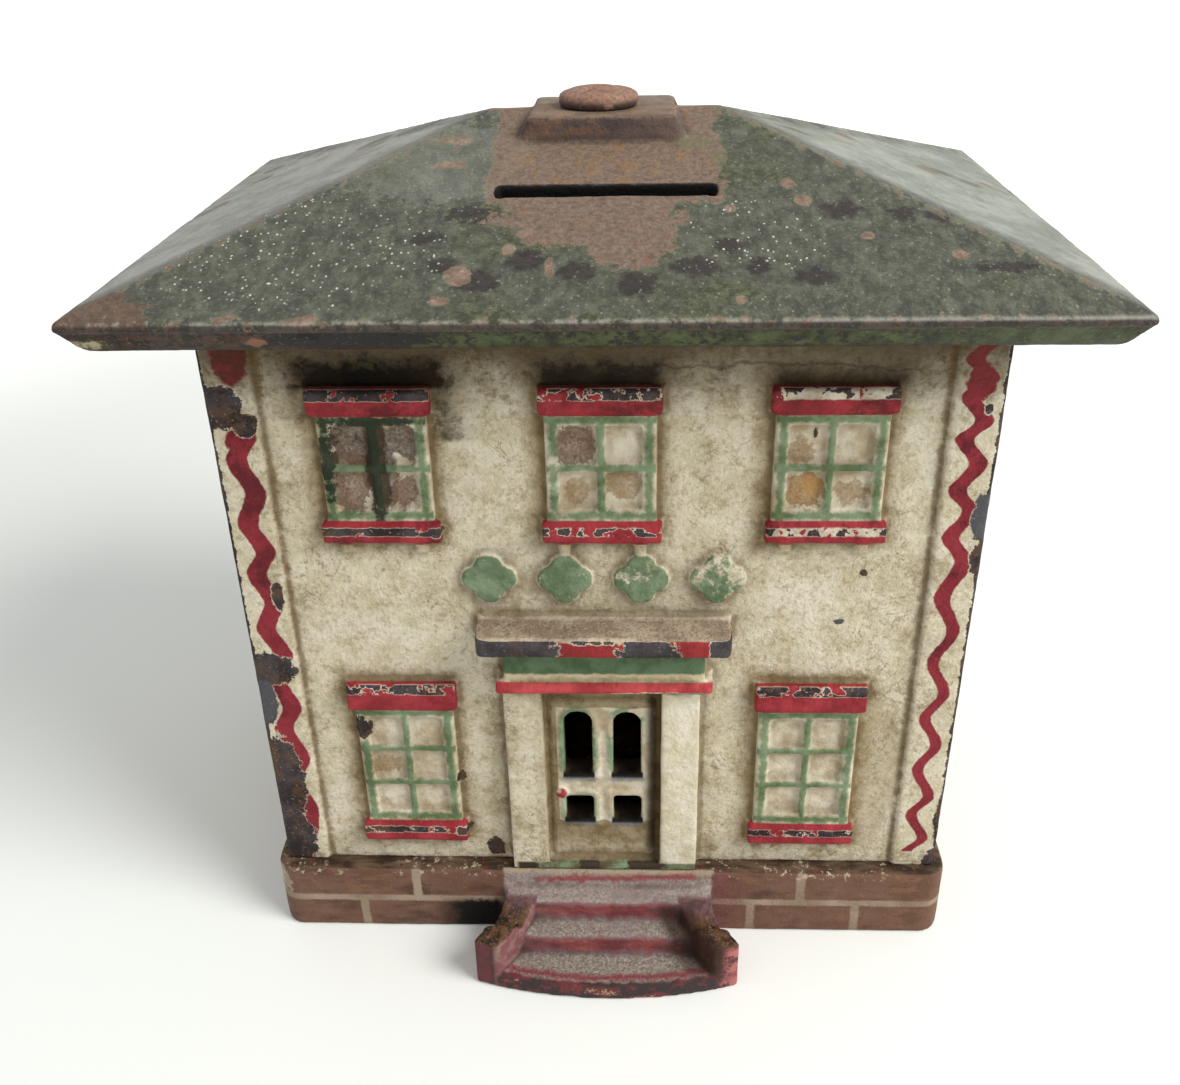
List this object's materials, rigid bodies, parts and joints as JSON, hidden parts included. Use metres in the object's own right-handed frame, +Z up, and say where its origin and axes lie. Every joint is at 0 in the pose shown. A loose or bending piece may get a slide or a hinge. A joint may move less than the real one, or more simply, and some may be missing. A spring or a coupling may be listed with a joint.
{
  "type": "cast iron still bank",
  "caption": "Coin bank shaped as a two-storey house: plinth with steps, four relief walls and a hipped roof with a coin slot, held by one long screw.",
  "frame": {"origin": "middle of the bounding box at floor level; the building's own centre and the screw lie 1.9 mm behind it, because the steps reach further forward than the eaves", "axes": "+X to the right along the front, +Y from the front of the steps towards the back wall, +Z up"},
  "size_m": [0.1104, 0.0864, 0.1086],
  "materials": {
    "plinth_paint": "brown brick paint over cast iron, worn; treads dusty, risers red",
    "wall_paint": "aged cream paint over cast iron, red hoods and sills, green sashes",
    "roof_paint": "dark green paint over cast iron, worn to rust round the slot",
    "screw_steel": "rusted steel"
  },
  "bodies": {
    "bank": {"plinth": "plinth_paint", "front_wall": "wall_paint", "back_wall": "wall_paint", "left_wall": "wall_paint", "right_wall": "wall_paint"},
    "roof": {"roof": "roof_paint"},
    "screw": {"roof_screw": "screw_steel"}
  },
  "joints": [
    {"name": "roof_lift", "type": "slide", "parent": "bank", "child": "roof", "axis": [0, 0, 1], "range_m": [0, 0.095]},
    {"name": "roof_screw_turn", "type": "hinge", "parent": "roof", "child": "screw", "pos_m": [-0.0006, 0.00187, 0.106], "axis": [0, 0, 1], "continuous": true}
  ]
}
